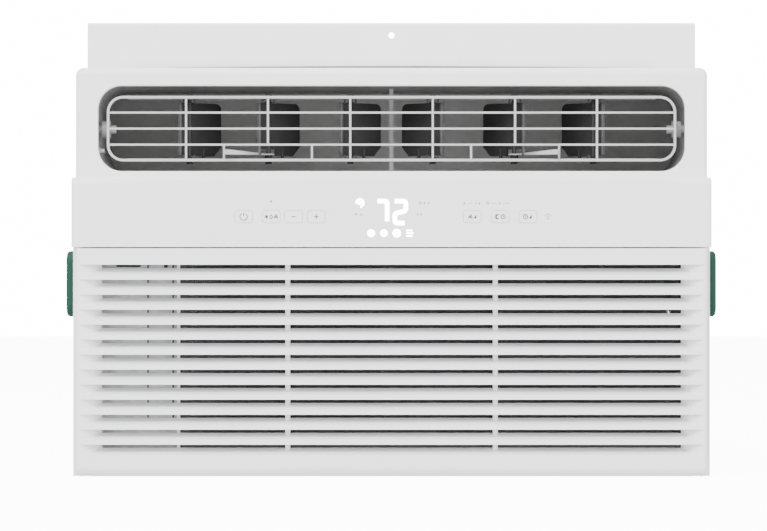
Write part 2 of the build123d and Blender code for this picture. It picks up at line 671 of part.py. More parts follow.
def tie_bar(side):
    """Flat bar that joins the three vanes of one side; its end holes are slack."""
    shift = Vector(0, 1, 0).rotate(Axis.Z, side * VANE_TURN) * TIE_REACH
    x_pins = [side * x + shift.X for x in VANE_X.values()]
    y_pin = AXIS_Y + shift.Y
    z_bar = VANE_LOW - 3.4
    with BuildPart() as bar:
        with BuildSketch(Plane.XY.offset(z_bar)):
            with Locations(((min(x_pins) + max(x_pins)) / 2, y_pin)):
                SlotOverall(max(x_pins) - min(x_pins) + 6, 5.4)
            for x_pin, slack in zip(x_pins, (0.5, 0.05, 0.5)):
                with Locations((x_pin, y_pin)):
                    Circle(1.2 + slack, mode=Mode.SUBTRACT)
        extrude(amount=2.0)
    return bar


save(tie_bar(-1), "tie_bar_left")
save(tie_bar(1), "tie_bar_right")

# ================================================================ room side air path

SCROLL_X = (-128.0, 88.0)
SCROLL_Y = (-104.0, BULKHEAD_Y)
SCROLL_R = 85.0

with BuildPart() as air_scroll:
    block(*SCROLL_X, *SCROLL_Y, 32, AXIS_Z - MOUTH_H / 2 - DUCT_T)
    rod((FAN_X, SCROLL_Y[0] + 3, FAN_Z), (0, 1, 0), SCROLL_R, 51, mode=Mode.SUBTRACT)
    block(OUTLET_X[0] - 5, OUTLET_X[1], -99, -51, FAN_Z, 240, mode=Mode.SUBTRACT)
    rod((FAN_X, SCROLL_Y[0] - 1, FAN_Z), (0, 1, 0), 58, 5, mode=Mode.SUBTRACT)
    rod((FAN_X, BULKHEAD_Y - 6, FAN_Z), (0, 1, 0), 14, 8, mode=Mode.SUBTRACT)
save(air_scroll, "air_scroll")

with BuildPart() as bulkhead:
    block(-PAN_HALF + 2.2, PAN_HALF - 2.2, BULKHEAD_Y, BULKHEAD_Y + SHEET, PAN_T, CASE_TOP - 5)
    rod((FAN_X, BULKHEAD_Y - 1, FAN_Z), (0, 1, 0), 14, 4, mode=Mode.SUBTRACT)
    for side in (-1, 1):
        block(side * 209, side * 230, BULKHEAD_Y - 1, BULKHEAD_Y + 3, 111, 173, mode=Mode.SUBTRACT)
    block(195, 230, BULKHEAD_Y - 1, BULKHEAD_Y + 3, 45, 72, mode=Mode.SUBTRACT)
    block(214, 230, BULKHEAD_Y - 1, BULKHEAD_Y + 3, 280, 300, mode=Mode.SUBTRACT)
save(bulkhead, "bulkhead")

BLADES = 32

with BuildPart() as blower_wheel:
    rod((FAN_X, -54, FAN_Z), (0, 1, 0), WHEEL_R, 2)
    rod((FAN_X, -76, FAN_Z), (0, 1, 0), 12, 22)
    with BuildSketch(at_y(-98)):
        with Locations((FAN_X, FAN_Z)):
            with PolarLocations(WHEEL_R - 6, BLADES):
                Rectangle(10.5, 1.2, rotation=28)
    extrude(amount=-44)
    with BuildSketch(at_y(-98)):
        with Locations((FAN_X, FAN_Z)):
            Circle(WHEEL_R)
            Circle(WHEEL_R - 12, mode=Mode.SUBTRACT)
    extrude(amount=-2)
    rod((FAN_X, -100, FAN_Z), (0, 1, 0), SHAFT_R, 60, mode=Mode.SUBTRACT)
save(blower_wheel, "blower_wheel")

with BuildPart() as motor_shaft:
    rod((FAN_X, -80, FAN_Z), (0, 1, 0), SHAFT_R, 206)
save(motor_shaft, "motor_shaft")

MOTOR_Y = (-36.0, 24.0)

with BuildPart() as fan_motor:
    rod((FAN_X, MOTOR_Y[0], FAN_Z), (0, 1, 0), 46, MOTOR_Y[1] - MOTOR_Y[0])
    fillet(fan_motor.edges().filter_by(GeomType.CIRCLE), 6)
    rod((FAN_X, MOTOR_Y[0] - 6, FAN_Z), (0, 1, 0), 14, 6)
    rod((FAN_X, MOTOR_Y[1], FAN_Z), (0, 1, 0), 14, 8)
    rod((FAN_X, -10, FAN_Z), (0, 1, 0), 49, 8)
    rod((FAN_X, -60, FAN_Z), (0, 1, 0), SHAFT_R + 0.05, 120, mode=Mode.SUBTRACT)
save(fan_motor, "fan_motor")

with BuildPart() as motor_bracket:
    slab(MOTOR_Y[1], MOTOR_Y[1] + 2, 96, 150, 12, x=FAN_X, z=PAN_T + 75 + 30)
    block(FAN_X - 48, FAN_X + 48, MOTOR_Y[1], MOTOR_Y[1] + 2, PAN_T, 60)
    block(FAN_X - 48, FAN_X + 48, MOTOR_Y[1], MOTOR_Y[1] + 40, PAN_T, PAN_T + 2)
    rod((FAN_X, MOTOR_Y[1] - 1, FAN_Z), (0, 1, 0), 14, 4, mode=Mode.SUBTRACT)
    slab(MOTOR_Y[1] - 1, MOTOR_Y[1] + 3, 56, 40, 8, x=FAN_X, z=50, mode=Mode.SUBTRACT)
save(motor_bracket, "motor_bracket")

with BuildPart() as condenser_fan:
    rod((FAN_X, 98, FAN_Z), (0, 1, 0), 26, 24)
    for i in range(5):
        turn = radians(72 * i + 90)
        outward = Vector(cos(turn), 0, sin(turn))
        root = Vector(FAN_X, 110, FAN_Z) + outward * 24
        with BuildSketch(Plane(origin=root, x_dir=(0, 1, 0), z_dir=outward)):
            Rectangle(40, 2, rotation=55)
        extrude(amount=FAN_R - 24)
    # slinger ring round the blade tips, which lifts water from the sump
    with BuildSketch(at_y(103)):
        with Locations((FAN_X, FAN_Z)):
            Circle(FAN_R + 2)
            Circle(FAN_R - 1, mode=Mode.SUBTRACT)
    extrude(amount=-14)
    rod((FAN_X, 90, FAN_Z), (0, 1, 0), SHAFT_R, 40, mode=Mode.SUBTRACT)
save(condenser_fan, "condenser_fan")

with BuildPart() as fan_shroud:
    block(-222, 205, 136, 138, 30, 292)
    rod((FAN_X, 112, FAN_Z), (0, 1, 0), 110, 25)
    rod((FAN_X, 111, FAN_Z), (0, 1, 0), 107.5, 30, mode=Mode.SUBTRACT)
    block(FAN_X - 60, FAN_X + 60, 100, 134, 20, 34, mode=Mode.SUBTRACT)
save(fan_shroud, "fan_shroud")

# ================================================================ heat exchangers


def serpentine(x_range, y_rows, z_first, pitch, tubes):
    """One tube that runs up one row, crosses over at the last level, and comes back down the other."""
    x_left, x_right = x_range
    turn = abs(pitch) / 2
    cross = (y_rows[1] - y_rows[0]) / 2
    levels = [z_first + i * pitch for i in range(tubes)]
    points = [(x_right + 2, y_rows[0], levels[0])]
    radii = []
    for y_row, heights in zip(y_rows, (levels, levels[::-1])):
        for i in range(tubes - 1):
            x_end = x_left - turn if i % 2 == 0 else x_right + turn
            points += [(x_end, y_row, heights[i]), (x_end, y_row, heights[i + 1])]
            radii += [turn - 0.5, turn - 0.5]
        if y_row == y_rows[0]:
            points += [(x_right + cross, y_rows[0], heights[-1]), (x_right + cross, y_rows[1], heights[-1])]
            radii += [cross - 0.5, cross - 0.5]
    points.append((x_right + 2, y_rows[1], levels[0]))
    with BuildPart() as coil:
        pipe(points, radii, TUBE_R)
    return coil


def fin_block(x_range, y_range, z_range, y_rows, z_first, pitch, tubes):
    """Fin pack as one block with a hole for every tube."""
    with BuildPart() as fins:
        block(*x_range, *y_range, *z_range)
        with BuildSketch(Plane.YZ.offset(x_range[0])):
            for y_row in y_rows:
                for i in range(tubes):
                    with Locations((y_row, z_first + i * pitch)):
                        Circle(TUBE_R)
        extrude(amount=x_range[1] - x_range[0], mode=Mode.SUBTRACT)
    return fins


EVAP_ROWS = (-136.0, -118.0)
EVAP_Z0 = 46.0
EVAP_PITCH = 22.0
EVAP_TUBES = 8
save(serpentine(EVAP_X, EVAP_ROWS, EVAP_Z0, EVAP_PITCH, EVAP_TUBES), "evaporator_tubes")
save(
    fin_block(EVAP_X, (-144, -110), (34, 214), EVAP_ROWS, EVAP_Z0, EVAP_PITCH, EVAP_TUBES),
    "evaporator_fins",
)

COND_ROWS = (152.0, 170.0)
COND_Z0 = 276.0
COND_PITCH = -25.0
COND_TUBES = 10
save(serpentine(COND_X, COND_ROWS, COND_Z0, COND_PITCH, COND_TUBES), "condenser_tubes")
save(
    fin_block(COND_X, (143, 179), (34, 292), COND_ROWS, COND_Z0, COND_PITCH, COND_TUBES),
    "condenser_fins",
)

with BuildPart() as drip_tray:
    block(-154, 208, -144.3, -107, 18, 34)
    block(-150, 204, -141, -110, 22, 35, mode=Mode.SUBTRACT)
    # cross bars that the fins stand on
    for x_bar in (-140, -50, 40, 130, 196):
        block(x_bar, x_bar + 6, -142, -109, 20, 34)
save(drip_tray, "drip_tray")

# ================================================================ compressor and pipes

FOOT_R = 62.0
FEET = [(COMP_X + FOOT_R * cos(radians(a)), COMP_Y + FOOT_R * sin(radians(a))) for a in (90, 210, 330)]
FOOT_Z = 34.0

with BuildPart() as compressor_shell:
    rod((COMP_X, COMP_Y, FOOT_Z + 2), (0, 0, 1), 48, 184)
    fillet(compressor_shell.edges().filter_by(GeomType.CIRCLE), 20)
    rod((COMP_X, COMP_Y, 60), (0, 0, 1), 49, 6)
    rod((COMP_X, COMP_Y, 190), (0, 0, 1), 49, 6)
    # three-legged foot plate
    with BuildSketch(Plane.XY.offset(FOOT_Z)):
        with Locations(*FEET):
            Circle(12)
        with Locations((COMP_X, COMP_Y)):
            Circle(38)
            for a in (90, 210, 330):
                with Locations((FOOT_R / 2 * cos(radians(a)), FOOT_R / 2 * sin(radians(a)))):
                    Rectangle(FOOT_R, 22, rotation=a)
    extrude(amount=4)
    for x_foot, y_foot in FEET:
        rod((x_foot, y_foot, FOOT_Z - 1), (0, 0, 1), 5, 7, mode=Mode.SUBTRACT)
save(compressor_shell, "compressor_shell")

with BuildPart() as compressor_grommets:
    for x_foot, y_foot in FEET:
        rod((x_foot, y_foot, PAN_T), (0, 0, 1), 11, FOOT_Z - PAN_T)
        rod((x_foot, y_foot, PAN_T), (0, 0, 1), 5, FOOT_Z - PAN_T + 6)
        rod((x_foot, y_foot, PAN_T - 1), (0, 0, 1), 3, FOOT_Z + 8, mode=Mode.SUBTRACT)
save(compressor_grommets, "compressor_grommets")

with BuildPart() as compressor_studs:
    for x_foot, y_foot in FEET:
        rod((x_foot, y_foot, PAN_T), (0, 0, 1), 3, FOOT_Z + 12)
        with BuildSketch(Plane.XY.offset(FOOT_Z + 6)):
            with Locations((x_foot, y_foot)):
                RegularPolygon(6, 6)
        extrude(amount=5)
save(compressor_studs, "compressor_studs")

TOP_Z = FOOT_Z + 186.0

with BuildPart() as terminal_cover:
    rod((COMP_X - 6, COMP_Y, TOP_Z), (0, 0, 1), 17, 16)
    fillet(terminal_cover.edges().group_by(Axis.Z)[-1], 3)
save(terminal_cover, "terminal_cover")

ACC_X = 74.0

with BuildPart() as accumulator:
    rod((ACC_X, COMP_Y, 62), (0, 0, 1), 21, 112)
    fillet(accumulator.edges().filter_by(GeomType.CIRCLE), 10)
    pipe([(ACC_X, COMP_Y, 64), (ACC_X, COMP_Y, 50), (COMP_X - 47.6, COMP_Y, 50)], 9, 4)
    # clear of the compressor's round wall
    rod((COMP_X, COMP_Y, 40), (0, 0, 1), 48, 60, mode=Mode.SUBTRACT)
    rod((COMP_X, COMP_Y, 60), (0, 0, 1), 49, 6, mode=Mode.SUBTRACT)
save(accumulator, "accumulator")

with BuildPart() as discharge_line:
    pipe(
        [
            (COMP_X + 22, COMP_Y, TOP_Z),
            (COMP_X + 22, COMP_Y, COND_Z0),
            (220, 60, COND_Z0),
            (220, COND_ROWS[0], COND_Z0),
            (COND_X[1] + 2, COND_ROWS[0], COND_Z0),
        ],
        5,
        3,
    )
save(discharge_line, "discharge_line")

with BuildPart() as suction_line:
    pipe(
        [
            (EVAP_X[1] + 2, EVAP_ROWS[1], EVAP_Z0),
            (217, EVAP_ROWS[1], EVAP_Z0),
            (217, -37, 60),
            (ACC_X, -37, 60),
            (ACC_X, -37, 192),
            (ACC_X, COMP_Y, 192),
            (ACC_X, COMP_Y, 174),
        ],
        6,
        4,
    )
save(suction_line, "suction_line")

with BuildPart() as capillary_tube:
    pipe(
        [
            (EVAP_X[1] + 2, EVAP_ROWS[0], EVAP_Z0),
            (222.5, EVAP_ROWS[0], EVAP_Z0),
            (222.5, -151, EVAP_Z0),
            (222.5, -151, 289),
            (222.5, COND_ROWS[1], 289),
            (222.5, COND_ROWS[1], COND_Z0),
            (COND_X[1] + 2, COND_ROWS[1], COND_Z0),
        ],
        4,
        1.5,
    )
save(capillary_tube, "capillary_tube")

# ================================================================ control box

BOX_X = (-216.0, -172.0)
BOX_Y = (-144.0, -104.0)
BOX_Z = (34.0, 212.0)

with BuildPart() as control_box:
    block(*BOX_X, *BOX_Y, *BOX_Z)
    block(BOX_X[0] + SHEET, BOX_X[1] - SHEET, BOX_Y[0] - 1, BOX_Y[1] - SHEET, BOX_Z[0] + SHEET,
          BOX_Z[1] - SHEET, mode=Mode.SUBTRACT)
save(control_box, "control_box")

with BuildPart() as control_box_cover:
    block(-216, -157, BOX_Y[0] - SHEET, BOX_Y[0], 31, BOX_Z[1])
    block(-216, -214.8, BOX_Y[0] - 6, BOX_Y[0], 31, BOX_Z[1])
    for x_bead in (-181.0, -162.5):
        block(x_bead - 1, x_bead + 1, BOX_Y[0] - SHEET - 0.8, BOX_Y[0], 31, BOX_Z[1])
save(control_box_cover, "control_box_cover")

with BuildPart() as run_capacitor:
    rod((-194, -124, BOX_Z[0] + SHEET), (0, 0, 1), 17, 80)
    fillet(run_capacitor.edges().group_by(Axis.Z)[-1], 2)
    block(-200, -197, -127, -121, BOX_Z[0] + SHEET + 79, BOX_Z[0] + SHEET + 88)
    block(-191, -188, -127, -121, BOX_Z[0] + SHEET + 79, BOX_Z[0] + SHEET + 88)
save(run_capacitor, "run_capacitor")
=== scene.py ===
import json
import math

import bmesh
import bpy
from mathutils import Matrix, Vector


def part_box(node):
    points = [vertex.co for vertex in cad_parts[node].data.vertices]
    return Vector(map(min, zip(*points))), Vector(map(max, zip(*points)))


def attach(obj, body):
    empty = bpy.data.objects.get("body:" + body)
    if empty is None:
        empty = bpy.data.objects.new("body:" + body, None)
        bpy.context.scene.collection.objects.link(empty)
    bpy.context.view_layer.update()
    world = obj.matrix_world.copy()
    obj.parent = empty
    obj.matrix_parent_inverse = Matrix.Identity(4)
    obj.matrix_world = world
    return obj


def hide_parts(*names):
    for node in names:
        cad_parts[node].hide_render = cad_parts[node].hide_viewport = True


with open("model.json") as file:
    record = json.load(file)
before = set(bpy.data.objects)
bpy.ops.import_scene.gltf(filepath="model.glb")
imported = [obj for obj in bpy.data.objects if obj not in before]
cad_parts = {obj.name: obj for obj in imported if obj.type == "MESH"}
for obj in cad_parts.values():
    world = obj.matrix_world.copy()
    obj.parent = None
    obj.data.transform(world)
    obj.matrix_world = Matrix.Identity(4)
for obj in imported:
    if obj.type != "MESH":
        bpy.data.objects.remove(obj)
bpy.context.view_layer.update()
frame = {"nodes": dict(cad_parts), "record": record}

MM = 0.001

# ---------------------------------------------------------------- camera
# A long lens straight in front of the unit, level with the middle of its height.
CAMERA_DISTANCE = 3.28
CAMERA_X = -0.0059
CAMERA_Z = 0.1559
LENS_MM = 197.0


def make_camera():
    data = bpy.data.cameras.new("camera")
    data.lens = LENS_MM
    data.sensor_width = 36
    data.clip_end = 50
    camera = bpy.data.objects.new("camera", data)
    camera.location = (CAMERA_X, -CAMERA_DISTANCE, CAMERA_Z)
    camera.rotation_euler = (math.radians(90), 0, 0)
    bpy.context.collection.objects.link(camera)
    bpy.context.scene.camera = camera


make_camera()


def node(tree, kind, **values):
    made = tree.nodes.new(kind)
    for key, value in values.items():
        if key in made.inputs:
            made.inputs[key].default_value = value
        else:
            setattr(made, key, value)
    return made


# ---------------------------------------------------------------- stage and light
def area_light(name, place, aim, size, power):
    data = bpy.data.lights.new(name, "AREA")
    data.shape = "RECTANGLE"
    data.size, data.size_y = size
    data.energy = power
    light = bpy.data.objects.new(name, data)
    light.location = place
    light.rotation_euler = (Vector(aim) - Vector(place)).to_track_quat("-Z", "Y").to_euler()
    bpy.context.collection.objects.link(light)


WORLD_LIGHT = 2.1
BACKDROP_WHITE = 16.0
FLOOR_GLOW = 10.0
FLOOR_RADIUS = 6
FLOOR_SIDES = 64
# place, aim, size across and up, and power in watts
STUDIO_LIGHTS = {
    "key": ((-0.9, -2.2, 2.2), (0, 0, 0.15), (2.0, 1.4), 135),
    "fill": ((1.6, -2.0, 0.9), (0, 0, 0.15), (1.6, 1.6), 26),
    "top": ((0, 0.2, 2.4), (0, 0, 0.2), (2.5, 2.0), 22),
}


def make_stage():
    """Flat pale floor, a white world and soft studio light."""
    world = bpy.data.worlds.new("studio")
    world.use_nodes = True
    tree = world.node_tree
    lighting = tree.nodes["Background"]
    lighting.inputs["Color"].default_value = (1, 1, 1, 1)
    lighting.inputs["Strength"].default_value = WORLD_LIGHT
    # the lens sees a brighter white than the one that lights the unit
    seen = node(tree, "ShaderNodeBackground", Color=(1, 1, 1, 1), Strength=BACKDROP_WHITE)
    ray = tree.nodes.new("ShaderNodeLightPath")
    choose = tree.nodes.new("ShaderNodeMixShader")
    tree.links.new(ray.outputs["Is Camera Ray"], choose.inputs[0])
    tree.links.new(lighting.outputs[0], choose.inputs[1])
    tree.links.new(seen.outputs[0], choose.inputs[2])
    tree.links.new(choose.outputs[0], tree.nodes["World Output"].inputs["Surface"])
    bpy.context.scene.world = world

    mesh = bpy.data.meshes.new("floor")
    turns = [i * math.tau / FLOOR_SIDES for i in range(FLOOR_SIDES)]
    rim = [(FLOOR_RADIUS * math.cos(a), FLOOR_RADIUS * math.sin(a), 0) for a in turns]
    mesh.from_pydata(rim, [], [list(range(FLOOR_SIDES))])
    floor = bpy.data.objects.new("floor", mesh)
    bpy.context.collection.objects.link(floor)
    material = bpy.data.materials.new("floor")
    material.use_nodes = True
    shader = material.node_tree.nodes["Principled BSDF"]
    shader.inputs["Base Color"].default_value = (0.93, 0.93, 0.93, 1)
    shader.inputs["Roughness"].default_value = 0.8
    shader.inputs["Emission Color"].default_value = (1, 1, 1, 1)
    shader.inputs["Emission Strength"].default_value = FLOOR_GLOW
    mesh.materials.append(material)
    # its glow is for the lens only and doesn't light the unit
    floor.visible_diffuse = False
    floor.visible_glossy = False

    for name, settings in STUDIO_LIGHTS.items():
        area_light(name, *settings)


make_stage()


# ---------------------------------------------------------------- materials
# most of the noise lies between these values
NOISE_LOW, NOISE_HIGH = 0.3, 0.7
# slow unevenness of sheet and mouldings, in cells per metre
WAVE_SCALE = 30


def object_texture(tree, kind, **values):
    """Texture node laid out in the object's own metres."""
    made = node(tree, kind, **values)
    place = tree.nodes.new("ShaderNodeTexCoord")
    tree.links.new(place.outputs["Object"], made.inputs["Vector"])
    return made


def noise(tree, scale, detail=2.0, roughness=0.5):
    """Noise value; scale is in cells per metre."""
    made = object_texture(tree, "ShaderNodeTexNoise", Scale=scale, Detail=detail, Roughness=roughness)
    return made.outputs["Fac"]


def ramp(tree, factor, low, high, start=NOISE_LOW, end=NOISE_HIGH):
    """Colour that runs from low to high as the factor goes from start to end."""
    made = tree.nodes.new("ShaderNodeValToRGB")
    first, last = made.color_ramp.elements
    first.position, first.color = start, (*low, 1)
    last.position, last.color = end, (*high, 1)
    tree.links.new(factor, made.inputs["Fac"])
    return made.outputs["Color"]


def spread(tree, factor, low, high):
    """Value that runs from low to high over the noise's usual range."""
    made = tree.nodes.new("ShaderNodeMapRange")
    made.inputs["From Min"].default_value = NOISE_LOW
    made.inputs["From Max"].default_value = NOISE_HIGH
    made.inputs["To Min"].default_value = low
    made.inputs["To Max"].default_value = high
    tree.links.new(factor, made.inputs["Value"])
    return made.outputs["Result"]


def bump(tree, height, strength, distance, below=None):
    """Surface relief of a given depth in metres, over another relief or none."""
    made = tree.nodes.new("ShaderNodeBump")
    made.inputs["Strength"].default_value = strength
    made.inputs["Distance"].default_value = distance
    tree.links.new(height, made.inputs["Height"])
    if below:
        tree.links.new(below, made.inputs["Normal"])
    return made.outputs["Normal"]


def surface(name, low, high, rough, tone=14, grain=1500, depth=0.00002, metallic=0.0, specular=0.5,
            waviness=0.0):
    """Base material: two near tones, a roughness range and a fine surface grain."""
    material = bpy.data.materials.new(name)
    material.use_nodes = True
    tree = material.node_tree
    shader = tree.nodes["Principled BSDF"]
    shader.inputs["Metallic"].default_value = metallic
    shader.inputs["Specular IOR Level"].default_value = specular
    tree.links.new(ramp(tree, noise(tree, tone, 3, 0.6), low, high), shader.inputs["Base Color"])
    tree.links.new(spread(tree, noise(tree, tone * 4, 3, 0.6), *rough), shader.inputs["Roughness"])
    normal = bump(tree, noise(tree, grain), 1.0, depth)
    if waviness:
        normal = bump(tree, noise(tree, WAVE_SCALE, 1, 0.4), 1.0, waviness, normal)
    tree.links.new(normal, shader.inputs["Normal"])
    return material


def grey(value):
    return (value, value, value)


def spangled_steel(name):
    """Galvanised sheet with its crystal pattern."""
    material = surface(name, (0.50, 0.52, 0.53), (0.62, 0.63, 0.64), (0.32, 0.5), metallic=1.0)
    tree = material.node_tree
    shader = tree.nodes["Principled BSDF"]
    cells = object_texture(tree, "ShaderNodeTexVoronoi", Scale=140.0)
    tone = ramp(tree, cells.outputs["Distance"], (0.46, 0.48, 0.50), (0.66, 0.67, 0.68), 0.0, 0.9)
    tree.links.new(tone, shader.inputs["Base Color"])
    return material


def finned_aluminium(name):
    """Fin pack: close upright stripes across its width."""
    material = surface(name, (0.55, 0.56, 0.57), (0.68, 0.69, 0.70), (0.3, 0.45), metallic=1.0)
    tree = material.node_tree
    shader = tree.nodes["Principled BSDF"]
    stripes = object_texture(tree, "ShaderNodeTexWave", Scale=90.0, bands_direction="X")
    tree.links.new(bump(tree, stripes.outputs["Fac"], 1.0, 0.0006), shader.inputs["Normal"])
    return material


def bead_foam(name):
    """Expanded bead foam: rounded cells a few millimetres wide."""
    material = surface(name, (0.78, 0.78, 0.76), (0.86, 0.86, 0.84), (0.7, 0.85))
    tree = material.node_tree
    shader = tree.nodes["Principled BSDF"]
    cells = object_texture(tree, "ShaderNodeTexVoronoi", Scale=320.0)
    tree.links.new(bump(tree, cells.outputs["Distance"], -0.6, 0.0006), shader.inputs["Normal"])
    return material


def lit(name, colour, strength):
    """Light that shows through the panel, a little uneven."""
    material = bpy.data.materials.new(name)
    material.use_nodes = True
    tree = material.node_tree
    shader = tree.nodes["Principled BSDF"]
    tree.links.new(ramp(tree, noise(tree, 260, 2), grey(0.9), colour), shader.inputs["Base Color"])
    shader.inputs["Roughness"].default_value = 0.5
    shader.inputs["Emission Color"].default_value = (*colour, 1)
    shader.inputs["Emission Strength"].default_value = strength
    return material


MATERIALS = {
    "white_panel": surface("panel_plastic", grey(0.84), grey(0.87), (0.36, 0.44), grain=1800, depth=0.000012,
                           waviness=0.00002),
    "key_white": surface("key_plastic", grey(0.84), grey(0.87), (0.34, 0.42), grain=1800, depth=0.00001),
    "case_paint": surface("case_coat", (0.74, 0.74, 0.73), (0.79, 0.79, 0.78), (0.38, 0.5), grain=700,
                          depth=0.00004, waviness=0.00006),
    "rail_paint": surface("rail_coat", grey(0.84), grey(0.87), (0.36, 0.46), grain=700, depth=0.00003),
    "galvanised": spangled_steel("galvanised_sheet"),
    "louver_grey": surface("louver_plastic", grey(0.36), grey(0.40), (0.38, 0.5), grain=1600),
    "vane_dark": surface("vane_plastic", grey(0.012), grey(0.02), (0.42, 0.58), grain=1500),
    "duct_dark": surface("duct_plastic", grey(0.38), grey(0.44), (0.5, 0.65), grain=1200, depth=0.00003),
    "handle_green": surface("handle_plastic", (0.009, 0.046, 0.031), (0.013, 0.056, 0.038), (0.55, 0.65),
                            grain=1500, specular=0.15),
    "screw_steel": surface("zinc_steel", grey(0.55), grey(0.68), (0.25, 0.4), grain=900, metallic=1.0),
    "rubber_black": surface("black_rubber", grey(0.015), grey(0.03), (0.65, 0.85), grain=1100),
    "fin_aluminium": finned_aluminium("fin_pack"),
    "copper": surface("drawn_copper", (0.50, 0.22, 0.12), (0.72, 0.36, 0.22), (0.22, 0.42), tone=40,
                      metallic=1.0),
    "black_paint": surface("black_enamel", grey(0.008), grey(0.02), (0.3, 0.45), grain=600, depth=0.00004),
    "black_plastic": surface("black_plastic", grey(0.018), grey(0.03), (0.45, 0.6), grain=1300),
    "foam_white": bead_foam("bead_foam"),
    "filter_frame": surface("filter_plastic", grey(0.010), grey(0.016), (0.45, 0.6), grain=1300),
    "filter_mesh": surface("filter_net", grey(0.008), grey(0.014), (0.6, 0.8), grain=2200),
    "board_green": surface("circuit_board", (0.01, 0.08, 0.03), (0.02, 0.12, 0.05), (0.3, 0.45), tone=60),
    "display_lens": surface("display_block", grey(0.75), grey(0.8), (0.25, 0.35)),
    "capacitor_can": surface("drawn_can", grey(0.6), grey(0.7), (0.25, 0.4), metallic=1.0),
}


def dress_cad():
    """Gives every CAD node its procedural material, by the record's slots."""
    for entry in frame["record"]["subparts"]:
        piece = frame["nodes"][entry["node"]]
        piece.data.materials.clear()
        piece.data.materials.append(MATERIALS[entry["material_slot"]])


dress_cad()


EDGE_WIDTHS_MM = {
    "front_panel": 0.35, "intake_door": 0.3, "top_rail": 0.3, "rear_guard": 0.4, "handle_left": 0.4,
    "handle_right": 0.4, "louver_grille": 0.35, "lever_left": 0.5, "lever_right": 0.5,
}
SHARP_DEG = 40


def soften_edges():
    """Small rounded edges on CAD nodes, where moulding or bending leaves them."""
    for name, width in EDGE_WIDTHS_MM.items():
        modifier = frame["nodes"][name].modifiers.new("edge", "BEVEL")
        modifier.width = width * MM
        modifier.segments = 2
        modifier.limit_method = "ANGLE"
        modifier.angle_limit = math.radians(SHARP_DEG)
        modifier.harden_normals = True


soften_edges()


def piece_from(name, mesh, material, body):
    """A new piece with its material, riding on a body."""
    mesh.materials.clear()
    mesh.materials.append(material)
    made = bpy.data.objects.new(name, mesh)
    bpy.context.collection.objects.link(made)
    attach(made, body)
    return made


def add_box(mesh, low_corner, high_corner):
    """Box between two corners, in metres, added to a bmesh."""
    size = Vector(high_corner) - Vector(low_corner)
    middle = (Vector(high_corner) + Vector(low_corner)) / 2
    bmesh.ops.create_cube(mesh, size=1, matrix=Matrix.Translation(middle) @ Matrix.Diagonal((*size, 1)))


def mesh_of(name, build):
    """Runs build on an empty bmesh and returns the mesh."""
    work = bmesh.new()
    build(work)
    mesh = bpy.data.meshes.new(name)
    work.to_mesh(mesh)
    work.free()
    return mesh


# ---------------------------------------------------------------- print and lights on the key strip
def middle_of(name):
    """Middle of a node's box, across and up, in millimetres."""
    low_corner, high_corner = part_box(name)
    return (low_corner[0] + high_corner[0]) / 2 / MM, (low_corner[2] + high_corner[2]) / 2 / MM


STRIP_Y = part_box("key_power")[0][1]
KEY_Z = middle_of("key_power")[1]
DISPLAY_X = middle_of("display_module")[0]
PRINT_RISE = 0.05

# widths of the printed and lit strokes, in millimetres
KEY_STROKE = 0.7
MARK_STROKE = 0.42
DIGIT_STROKE = 3.5
SWIRL_STROKE = 1.5
LIGHT_STROKE = 1.2

# the row of lights under the digits, from the display's middle and the keys' height
LIGHT_START = -15.0
LIGHT_PITCH = 9.4
LIGHT_DROP = 12.1


def arc(x, z, radius, start, end, steps=18):
    """Points of an arc, in millimetres, with angles in degrees from +X."""
    angles = [math.radians(start + (end - start) * i / steps) for i in range(steps + 1)]
    return [(x + radius * math.cos(a), z + radius * math.sin(a)) for a in angles]


def ring(x, z, radius):
    return arc(x, z, radius, 0, 345, 23)


def rounded(points, radius, steps=6):
    """The same outline with its inner corners rounded."""
    out = [points[0]]
    for before, corner, after in zip(points, points[1:], points[2:]):
        before, corner, after = Vector(before), Vector(corner), Vector(after)
        start = corner + (before - corner).normalized() * radius
        end = corner + (after - corner).normalized() * radius
        for i in range(steps + 1):
            t = i / steps
            blend = start * (1 - t) ** 2 + corner * 2 * t * (1 - t) + end * t ** 2
            out.append(tuple(blend))
    out.append(points[-1])
    return out


def stroke_print(name, lines, closed, width, x, z, material, slot_name, body):
    """Strokes printed on the key strip: thin raised lines round a middle at x, z (millimetres)."""
    data = bpy.data.curves.new(name, "CURVE")
    data.dimensions = "3D"
    data.bevel_depth = width / 2 * MM
    data.bevel_resolution = 3
    data.use_fill_caps = True
    for line, loop in zip(lines, closed):
        spline = data.splines.new("POLY")
        spline.points.add(len(line) - 1)
        for point, (across, up) in zip(spline.points, line):
            point.co = ((x + across) * MM, 0, (z + up) * MM, 1)
        spline.use_cyclic_u = loop
    holder = bpy.data.objects.new(name, data)
    mesh = bpy.data.meshes.new_from_object(holder)
    bpy.data.objects.remove(holder)
    squeeze = PRINT_RISE / (width / 2)
    for vertex in mesh.vertices:
        vertex.co.y = STRIP_Y + vertex.co.y * squeeze
    return piece_from(name, mesh, material, body)


INK = surface("grey_ink", grey(0.035), grey(0.05), (0.5, 0.6), tone=300, grain=2500, depth=0.000005)
FAINT_INK = surface("faint_ink", grey(0.17), grey(0.21), (0.5, 0.6), tone=300, grain=2500, depth=0.000005)
GLOW = lit("display_glow", (1.0, 1.0, 1.0), 14.0)


def fan_symbol(x, z, size):
    """Three curved blades round a small hub."""
    lines = [ring(x, z, 0.22 * size)]
    for turn in (90, 210, 330):
        a = math.radians(turn)
        lines.append(arc(x + 0.5 * size * math.cos(a), z + 0.5 * size * math.sin(a), 0.38 * size,
                         turn - 150, turn + 80, 12))
    return lines, [True, False, False, False]


